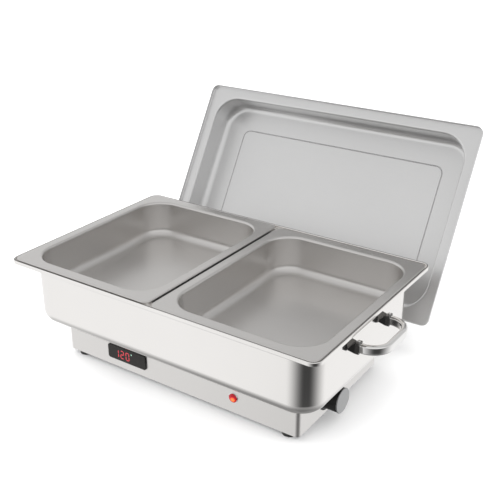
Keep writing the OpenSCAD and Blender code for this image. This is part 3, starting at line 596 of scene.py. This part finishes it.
def water_tub(finish):
    """Pressed tub with a round-bottomed wall, a ledge and a rolled lip."""
    low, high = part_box("water_tub")
    rim = (high.x - low.x, high.y - low.y, LIP_CORNER)
    wall = (rim[0] - 2 * LEDGE_END, rim[1] - 2 * LEDGE_SIDE, TUB_CORNER)
    ledge, top, sheet = high.z - LEDGE_DROP, high.z, TUB_SHEET
    floor_in = -TUB_FILLET - FLAT_REACH
    root, lip_bend, foot_bend = -LIP_WIDTH - 0.003, 0.0014, 0.001
    hem_bend, root_bend = 0.0004, 0.0008
    outer_wall = rings_of(wall, [
        (floor_in, low.z, 0), (0, low.z, TUB_FILLET), (0, ledge - sheet, UNDER_BEND),
        (FLAT_REACH, ledge - sheet, 0)])
    lip = rings_of(rim, [
        (root, ledge - sheet, 0), (-LIP_WIDTH, ledge - sheet, 0),
        (-LIP_WIDTH, top - LIP_HEIGHT, hem_bend), (0, top - LIP_HEIGHT, foot_bend),
        (0, top, lip_bend), (-LIP_WIDTH, top, lip_bend), (-LIP_WIDTH, ledge, root_bend),
        (root, ledge, 0)])
    inner_wall = rings_of(wall, [
        (FLAT_REACH, ledge, 0), (-sheet, ledge, TOP_BEND),
        (-sheet, low.z + sheet, TUB_FILLET - sheet), (floor_in, low.z + sheet, 0)])
    piece = loft("water_tub_sheet", outer_wall + lip + inner_wall, finish["tub_steel"])
    return keep(piece, "water_tub")


def food_pan(side, finish):
    """Half-size pan: drawn well, flat flange and a turned-down edge."""
    node = "food_pan_" + side
    low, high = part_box(node)
    flange = (high.x - low.x, high.y - low.y, PAN_CORNER)
    well = (WELL_LENGTH, WELL_WIDTH, WELL_CORNER)
    edge_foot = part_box("water_tub")[1].z - LEDGE_DROP
    top, sheet = high.z, PAN_SHEET
    floor_in = -PAN_FILLET - FLAT_REACH
    root, edge_bend, hidden_bend = -0.004, 0.0016, 0.0008
    outer = rings_of(well, [
        (floor_in, low.z, 0), (0, low.z, PAN_FILLET), (0, top - sheet, PAN_UNDER_BEND),
        (FLAT_REACH, top - sheet, 0)])
    edge = rings_of(flange, [
        (root, top - sheet, 0), (-sheet, top - sheet, hidden_bend),
        (-sheet, edge_foot, 0), (0, edge_foot, 0), (0, top, edge_bend), (root, top, 0)])
    inner = rings_of(well, [
        (FLAT_REACH, top, 0), (-sheet, top, TOP_BEND),
        (-sheet, low.z + sheet, PAN_FILLET - sheet), (floor_in, low.z + sheet, 0)])
    middle = Matrix.Translation(((low.x + high.x) / 2, 0, 0))
    piece = loft(node + "_sheet", outer + edge + inner, finish["pan_steel"], middle)
    return keep(piece, node)


def lid_lean():
    """Angle of the parked lid from the table, from the way that it slides."""
    axis = next(j["axis"] for j in frame["joints"] if j["name"] == "lid_lift")
    return math.atan2(axis[2], axis[1])


def lid_place():
    """Matrix from the closed lid's own frame to where it is parked."""
    lean = lid_lean()
    low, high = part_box("lid_shell")
    half, skirt = LID_WIDTH / 2, LID_SKIRT
    middle = Vector((0, low.y + half * math.cos(lean) + skirt * math.sin(lean),
                     high.z - half * math.sin(lean) - skirt * math.cos(lean)))
    return Matrix.Translation(middle) @ Matrix.Rotation(lean - math.pi, 4, "X")


def stamped_line(outline, level):
    """Rings of the groove stamped in the lid's panel, from inside to outside."""
    slope, turn, beside = LINE_WIDTH / 4, 0.0003, 0.004
    return rings_of(outline, [
        (-beside, level, 0), (0, level, turn), (slope, level + LINE_DEPTH, turn),
        (LINE_WIDTH - slope, level + LINE_DEPTH, turn), (LINE_WIDTH, level, turn),
        (LINE_WIDTH + beside, level, 0)])


def lid_sheet(finish):
    """Drawn lid with a stamped line in its panel and a turned skirt."""
    low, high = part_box("lid_shell")
    flange = (high.x - low.x, LID_WIDTH, LID_CORNER)
    well = (flange[0] - 2 * LID_FLANGE, LID_WIDTH - 2 * LID_FLANGE, LID_WELL_CORNER)
    line = (well[0] - 2 * LINE_INSET, well[1] - 2 * LINE_INSET, LID_CORNER)
    height, sheet = LID_HEIGHT, LID_SHEET
    panel_in = -LID_FILLET - FLAT_REACH
    root, skirt_bend, hidden_bend = -0.005, 0.002, 0.001
    outer = rings_of(well, [
        (panel_in, height, 0), (0, height, LID_FILLET), (0, sheet, UNDER_BEND),
        (FLAT_REACH, sheet, 0)])
    skirt = rings_of(flange, [
        (root, sheet, 0), (0, sheet, skirt_bend), (0, -LID_SKIRT, 0),
        (-sheet, -LID_SKIRT, 0), (-sheet, 0, hidden_bend), (root, 0, 0)])
    inner = rings_of(well, [
        (FLAT_REACH, 0, 0), (-sheet, 0, TOP_BEND),
        (-sheet, height - sheet, LID_FILLET - sheet), (panel_in, height - sheet, 0)])
    rings = (stamped_line(line, height) + outer + skirt + inner
             + stamped_line(line, height - sheet)[::-1])
    return keep(loft("lid_sheet", rings, finish["lid_steel"], lid_place()), "lid_shell")


def base_box(finish):
    """Folded base: walls with small bends, and flanges turned in at both ends."""
    low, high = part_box("base_shell")
    outline = (high.x - low.x, high.y - low.y, BASE_CORNER)
    sheet, flange = BASE_SHEET, BASE_FLANGE
    foot, top_bend, hidden_bend = low.z + sheet, 0.0015, 0.0006
    rings = rings_of(outline, [
        (-flange, foot, 0), (-sheet, foot, 0), (-sheet, low.z, 0), (0, low.z, 0),
        (0, high.z, top_bend), (-flange, high.z, 0), (-flange, high.z - sheet, 0),
        (-sheet, high.z - sheet, hidden_bend), (-sheet, foot + sheet, 0),
        (-flange, foot + sheet, 0)])
    piece = loft("base_box_sheet", rings, finish["base_steel"], closed=True)
    cutters = [cutter_through(*hole) for hole in BASE_HOLES]
    for cutter in cutters:
        hole = piece.modifiers.new("hole", "BOOLEAN")
        hole.object = cutter
        hole.solver = "EXACT"
    bake_modifiers(piece)
    for cutter in cutters:
        bpy.data.objects.remove(cutter)
    clean(piece.data)
    add_weighted_normals(piece)
    return keep(piece, "base_shell")


def cutter_through(node, inset, corner):
    """Body that cuts a node's hole through the base wall, round if it has no corner."""
    low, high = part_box(node)
    size, middle = high - low, (low + high) / 2
    across = 0 if node == "thermostat_nut" else 1
    width = size[1 - across] - 2 * inset
    height = size[2] - 2 * inset
    if corner is None:
        width = height = min(width, height)
        corner = width / 2
    if across == 0:
        turn, width, height = Matrix.Rotation(math.pi / 2, 4, "Y"), height, width
    else:
        turn = Matrix.Rotation(math.pi / 2, 4, "X")
    middle[across] = nearest_wall(middle, across)
    rings = [ring(width, height, corner, z) for z in (-CUTTER_REACH, CUTTER_REACH)]
    return loft("cutter", rings, bpy.data.materials["base_steel"],
                Matrix.Translation(middle) @ turn)


def nearest_wall(point, axis):
    """Where the base's wall nearest to a point lies along an axis."""
    low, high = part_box("base_shell")
    return min((low[axis], high[axis]), key=lambda wall: abs(wall - point[axis]))


# ---- Handles ----

def bar_route(reach):
    """Corners of a handle's middle line, from its ends at x = 0 out to its reach."""
    out, half = reach - BAR_THICK / 2, HANDLE_SPAN / 2 - BAR_THICK / 2
    return [(0, -half, 0), (out, -half, 0), (out, half, 0), (0, half, 0)]


def handle_parts(place, nodes, names, finish):
    """Bent bar, its tapered feet and its pins, on a wall at x = 0 of a place."""
    bar_node, feet_node, pins_node = nodes
    on_boss = place @ Matrix.Translation((BOSS_LENGTH, 0, 0))
    keep(bar(names[0], bar_route(HANDLE_REACH - BOSS_LENGTH), bars,
             finish["handle_chrome"], on_boss), bar_node)
    eased(feet_node, names[1], 0.0007, finish["bracket_steel"])
    half, dome, core = PIN_LENGTH / 2, 0.0008, 0.0004
    pin = turned("pin", [
        (core, -half, 0), (PIN_RADIUS, -half, dome), (PIN_RADIUS, half, dome),
        (core, half, 0)], finish["handle_chrome"], Matrix())
    ends = [(SOCKET_LENGTH / 2, side * (HANDLE_SPAN - BAR_THICK) / 2, 0)
            for side in (-1, 1)]
    keep(repeated(names[2], pin, ends, repeats, finish["handle_chrome"], on_boss),
         pins_node)


def side_handle(side, finish):
    """Handle on one end wall of the tub."""
    low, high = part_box("water_tub")
    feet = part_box("handle_brackets_" + side)
    wall = high.x - LEDGE_END if side == "right" else low.x + LEDGE_END
    level = (feet[0].z + feet[1].z) / 2
    turn = Matrix.Rotation(0 if side == "right" else math.pi, 4, "Z")
    handle_parts(Matrix.Translation((wall, 0, level)) @ turn,
                 ["handle_" + side, "handle_brackets_" + side, "handle_pins_" + side],
                 [side + "_bar", side + "_feet", side + "_pins"], finish)


def lid_handle(finish):
    """Handle on the lid's outer panel."""
    upright = Matrix(((0, -1, 0, 0), (0, 0, -1, 0), (1, 0, 0, LID_HEIGHT),
                      (0, 0, 0, 1)))
    handle_parts(lid_place() @ upright,
                 ["lid_handle", "lid_handle_feet", "lid_handle_pins"],
                 ["lid_bar", "lid_feet", "lid_pins"], finish)


# ---- Controls ----

def round_place(node, turn_axis, turn):
    """Matrix that stands a round piece's z axis on a node's own middle line."""
    low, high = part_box(node)
    middle = (low + high) / 2
    if turn_axis == "Y":
        start = (low.x, middle.y, middle.z)
    else:
        start = (middle.x, high.y if turn > 0 else low.y, middle.z)
    return Matrix.Translation(start) @ Matrix.Rotation(turn, 4, turn_axis)


def control_knob(finish):
    """Knob, its grey disc and the dial behind it, all on one level axis."""
    low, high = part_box("knob_body")
    radius, length = (high.z - low.z) / 2, high.x - low.x
    back_step, back_rise, back_bend = 0.0004, 0.0012, 0.0006
    face_step, face_rise, side_bend, face_bend = 0.0008, 0.001, 0.0004, 0.0003
    body = turned("knob_turning", [
        (AXIS_RADIUS, 0, 0), (radius - back_step, 0, back_bend),
        (radius, back_rise, back_bend), (radius, length - face_rise, side_bend),
        (radius - face_step, length, face_bend), (AXIS_RADIUS, length, 0)],
        finish["knob_black"],
        round_place("knob_body", "Y", math.pi / 2))
    keep(body, "knob_body")
    low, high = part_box("knob_cap")
    radius, length = (high.z - low.z) / 2, high.x - low.x
    cap_back, slant, cap_bend = 0.0002, 0.0006, 0.0001
    cap = turned("knob_disc", [
        (AXIS_RADIUS, 0, 0), (radius, 0, cap_back), (radius, length - slant, cap_bend),
        (radius - slant, length, cap_bend), (AXIS_RADIUS, length, 0)],
        finish["knob_grey"],
        round_place("knob_cap", "Y", math.pi / 2))
    keep(cap, "knob_cap")
    low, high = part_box("dial_flange")
    radius, length = (high.z - low.z) / 2, high.x - low.x
    bore, dial_bend = 0.0052, 0.0007
    dial = loft("knob_dial", [ring(2 * r, 2 * r, r, z) for r, z in bent([
        (bore, 0, 0), (radius, 0, 0), (radius, length, dial_bend), (bore, length, 0)])],
        finish["knob_black"], round_place("dial_flange", "Y", math.pi / 2), closed=True)
    keep(dial, "dial_flange")


def display_bezel(finish):
    """Glossy frame round the display's window, with its neck through the wall."""
    low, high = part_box("display_frame")
    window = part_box("display_window")
    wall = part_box("base_shell")[0].y
    outline = (high.x - low.x, high.z - low.z, 0.004)
    opening = (window[1].x - window[0].x, window[1].z - window[0].z, 0.0025)
    proud, depth = wall - low.y, high.y - wall
    seat = wall - window[1].y
    neck = (outline[0] - 0.006, outline[1] - 0.006, 0.0006)
    inside = (neck[0] - 0.003, neck[1] - 0.003, 0.0005)
    rings = (rings_of(outline, [(-0.002, 0, 0), (0, 0, 0.0002), (0, proud, 0.0007),
                                (-0.0012, proud, 0)])
             + rings_of(opening, [(0, proud, 0), (0, seat, 0)])
             + rings_of(inside, [(0, seat, 0), (0, -depth, 0)])
             + rings_of(neck, [(0, -depth, 0), (0, 0, 0)]))
    middle = ((low.x + high.x) / 2, wall, (low.z + high.z) / 2)
    place = Matrix.Translation(middle) @ Matrix.Rotation(math.pi / 2, 4, "X")
    keep(loft("display_bezel", rings, finish["frame_black"], place, closed=True),
         "display_frame")


def lamp_glow(material, middle, reach):
    """Orange glow of the lit lamp behind its red lens, strongest at its middle."""
    tree = material.node_tree
    where = add(tree, "ShaderNodeTexCoord").outputs["Object"]
    off = add(tree, "ShaderNodeVectorMath", {0: where, 1: middle},
              operation="DISTANCE").outputs["Value"]
    glow = add(tree, "ShaderNodeMapRange", {
        "Value": off, "From Min": reach * 0.3, "From Max": reach, "To Min": 1.0,
        "To Max": 0.0}, interpolation_type="SMOOTHSTEP").outputs[0]
    colour = add(tree, "ShaderNodeMix", {
        0: glow, 6: (1.0, 0.03, 0.03, 1), 7: (1.0, 0.32, 0.06, 1)},
        data_type="RGBA").outputs[2]
    strength = add(tree, "ShaderNodeMapRange", {
        "Value": glow, "To Min": 0.10, "To Max": 0.95}).outputs[0]
    shader = tree.nodes["Principled BSDF"]
    tree.links.new(colour, shader.inputs["Emission Color"])
    tree.links.new(strength, shader.inputs["Emission Strength"])


def indicator_lamp(finish):
    """Red lens with a low dome, in a thin bright ring."""
    low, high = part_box("lamp_lens")
    middle = (low + high) / 2
    lamp_glow(finish["lens_red"], (middle.x + GLOW_RIGHT, low.y, middle.z + GLOW_UP),
              GLOW_REACH)
    radius, height, flange = (high.z - low.z) / 2, high.y - low.y, 0.0011
    lens = turned("lamp_dome", [
        (0.0002, 0, 0), (radius, 0, 0.0002), (radius, flange, 0.0005),
        (radius * 0.80, flange + 0.0003, 0.0006), (radius * 0.52, height, 0.004),
        (0.0002, height, 0)], finish["lens_red"],
        round_place("lamp_lens", "X", math.pi / 2))
    keep(lens, "lamp_lens")
    low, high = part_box("lamp_bezel")
    radius, height, bore = (high.z - low.z) / 2, high.y - low.y, 0.0045
    bezel = loft("lamp_ring", [ring(2 * r, 2 * r, r, z) for r, z in bent([
        (bore, 0, 0), (radius, 0, 0), (radius, height, 0.0003), (bore, height, 0)])],
        finish["handle_chrome"], round_place("lamp_bezel", "X", math.pi / 2),
        closed=True)
    keep(bezel, "lamp_bezel")


def rubber_feet(finish):
    """Four rubber feet with a rounded lower edge and a screw's recess."""
    low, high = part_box("rubber_feet")
    radius, height = FOOT_RADIUS, high.z - low.z
    recess, hole, recess_top = 0.005, 0.0022, 0.0035
    foot = loft("foot", [ring(2 * r, 2 * r, r, z) for r, z in bent([
        (hole, height, 0), (hole, recess_top, 0), (recess, recess_top, 0), (recess, 0, 0.0005),
        (radius - 0.0006, 0, 0.0012), (radius, height, 0)])],
        finish["foot_rubber"], closed=True)
    places = [(x, y, low.z) for x in (low.x + radius, high.x - radius)
              for y in (low.y + radius, high.y - radius)]
    keep(repeated("feet", foot, places, repeats, finish["foot_rubber"]), "rubber_feet")


def lid_rests(finish):
    """Bent strips behind the tub that hold the lid's lower edge."""
    for side in ("left", "right"):
        eased("lid_rest_" + side, side + "_rest", 0.0005, finish["base_steel"])


def lead_gland(finish):
    """Mains lead's gland in the back wall."""
    eased("gland_body", "gland_hexagon", 0.0007, finish["gland_black"])
    eased("gland_cap", "gland_nose", 0.0007, finish["gland_black"])
    eased("gland_seal", "gland_sleeve", 0.0004, finish["seal_rubber"])


# ---- Studio ----

def studio_camera():
    """Camera at the front right, looking down on the server."""
    camera = bpy.data.cameras.new("camera")
    camera.sensor_width = CAMERA_SENSOR
    camera.lens = CAMERA_LENS
    holder = bpy.data.objects.new("camera", camera)
    holder.location = CAMERA_PLACE
    holder.rotation_euler = CAMERA_TURN
    bpy.context.scene.collection.objects.link(holder)
    bpy.context.scene.camera = holder


def studio_floor():
    """Plain white floor, which the bright metal doesn't mirror."""
    mesh = bpy.data.meshes.new("floor")
    work = bmesh.new()
    bmesh.ops.create_grid(work, x_segments=1, y_segments=1, size=FLOOR_HALF)
    work.to_mesh(mesh)
    work.free()
    floor = bpy.data.objects.new("floor", mesh)
    bpy.context.scene.collection.objects.link(floor)
    floor.location.z = -FLOOR_DROP
    paint = bpy.data.materials.new("floor")
    paint.use_nodes = True
    shader = paint.node_tree.nodes["Principled BSDF"]
    shader.inputs["Base Color"].default_value = FLOOR_PAINT
    shader.inputs["Roughness"].default_value = FLOOR_ROUGHNESS
    mesh.materials.append(paint)
    floor.visible_glossy = False


def studio_world():
    """White room for the mirrors: a wide soft dark card at the front right, below
    the horizon, that the round corners show as an upright band, and a back wall
    that darkens to the right. Plain white for everything else."""
    world = bpy.data.worlds.new("studio")
    world.use_nodes = True
    bpy.context.scene.world = world
    tree = world.node_tree
    tree.nodes.clear()
    way = add(tree, "ShaderNodeTexCoord").outputs["Generated"]
    parts = add(tree, "ShaderNodeSeparateXYZ", {0: way}).outputs
    turn = add(tree, "ShaderNodeMath", {0: parts[1], 1: parts[0]},
               operation="ARCTAN2").outputs[0]

    def ramp(value, start, end, first, last):
        return add(tree, "ShaderNodeMapRange", {
            "Value": value, "From Min": start, "From Max": end, "To Min": first,
            "To Max": last}, interpolation_type="SMOOTHSTEP").outputs[0]

    def product(one, other):
        return add(tree, "ShaderNodeMath", {0: one, 1: other},
                   operation="MULTIPLY").outputs[0]

    off = add(tree, "ShaderNodeMath", {0: turn, 1: CARD_TURN},
              operation="SUBTRACT").outputs[0]
    off = add(tree, "ShaderNodeMath", {0: off}, operation="ABSOLUTE").outputs[0]
    darkest = ramp(parts[2], *CARD_FOOT)
    card = ramp(off, CARD_CORE, CARD_REACH, darkest, 1.0)
    high = ramp(parts[2], *CARD_TOP)
    card = add(tree, "ShaderNodeMix", {0: high, 2: card, 3: 1.0}).outputs[0]
    floor = ramp(parts[2], *FLOOR_FADE)
    ceiling = ramp(parts[2], *CEILING_FADE)
    back = ramp(turn, *BACK_FADE)
    front = ramp(parts[1], *BACK_START)
    back = add(tree, "ShaderNodeMix", {
        0: product(front, high), 2: 1.0, 3: back}).outputs[0]
    seen = product(product(card, back), product(floor, ceiling))
    mirrored = add(tree, "ShaderNodeBackground", {
        "Color": (1, 1, 1, 1), "Strength": seen})
    plain = add(tree, "ShaderNodeBackground", {
        "Color": (1, 1, 1, 1), "Strength": ROOM_STRENGTH})
    rays = add(tree, "ShaderNodeLightPath").outputs["Is Glossy Ray"]
    both = add(tree, "ShaderNodeMixShader", {
        0: rays, 1: plain.outputs[0], 2: mirrored.outputs[0]})
    add(tree, "ShaderNodeOutputWorld", {"Surface": both.outputs[0]})


def soft_box(name, place, aim, size, power):
    """Large soft light turned towards a point."""
    light = bpy.data.lights.new(name, "AREA")
    light.shape = "SQUARE"
    light.size = size
    light.energy = power
    holder = bpy.data.objects.new(name, light)
    holder.location = place
    facing = Vector(aim) - Vector(place)
    holder.rotation_euler = facing.to_track_quat("-Z", "Y").to_euler()
    bpy.context.scene.collection.objects.link(holder)
    holder.visible_glossy = False


# ---- Making everything ----

bpy.context.scene.view_settings.view_transform = "Standard"
studio_camera()
studio_floor()
studio_world()
soft_box("key", KEY_PLACE, KEY_AIM, KEY_SIDE, KEY_POWER)

finish = metals(finish_group()) | mouldings(moulded_group())
bars, repeats = path_tree(), repeat_tree()
for node, piece in frame["nodes"].items():
    piece.data.materials.clear()
    piece.data.materials.append(finish[slot_of(node)])

water_tub(finish)
food_pan("left", finish)
food_pan("right", finish)
lid_sheet(finish)
base_box(finish)
for side in ("left", "right"):
    side_handle(side, finish)
lid_handle(finish)
control_knob(finish)
display_bezel(finish)
indicator_lamp(finish)
rubber_feet(finish)
lid_rests(finish)
lead_gland(finish)
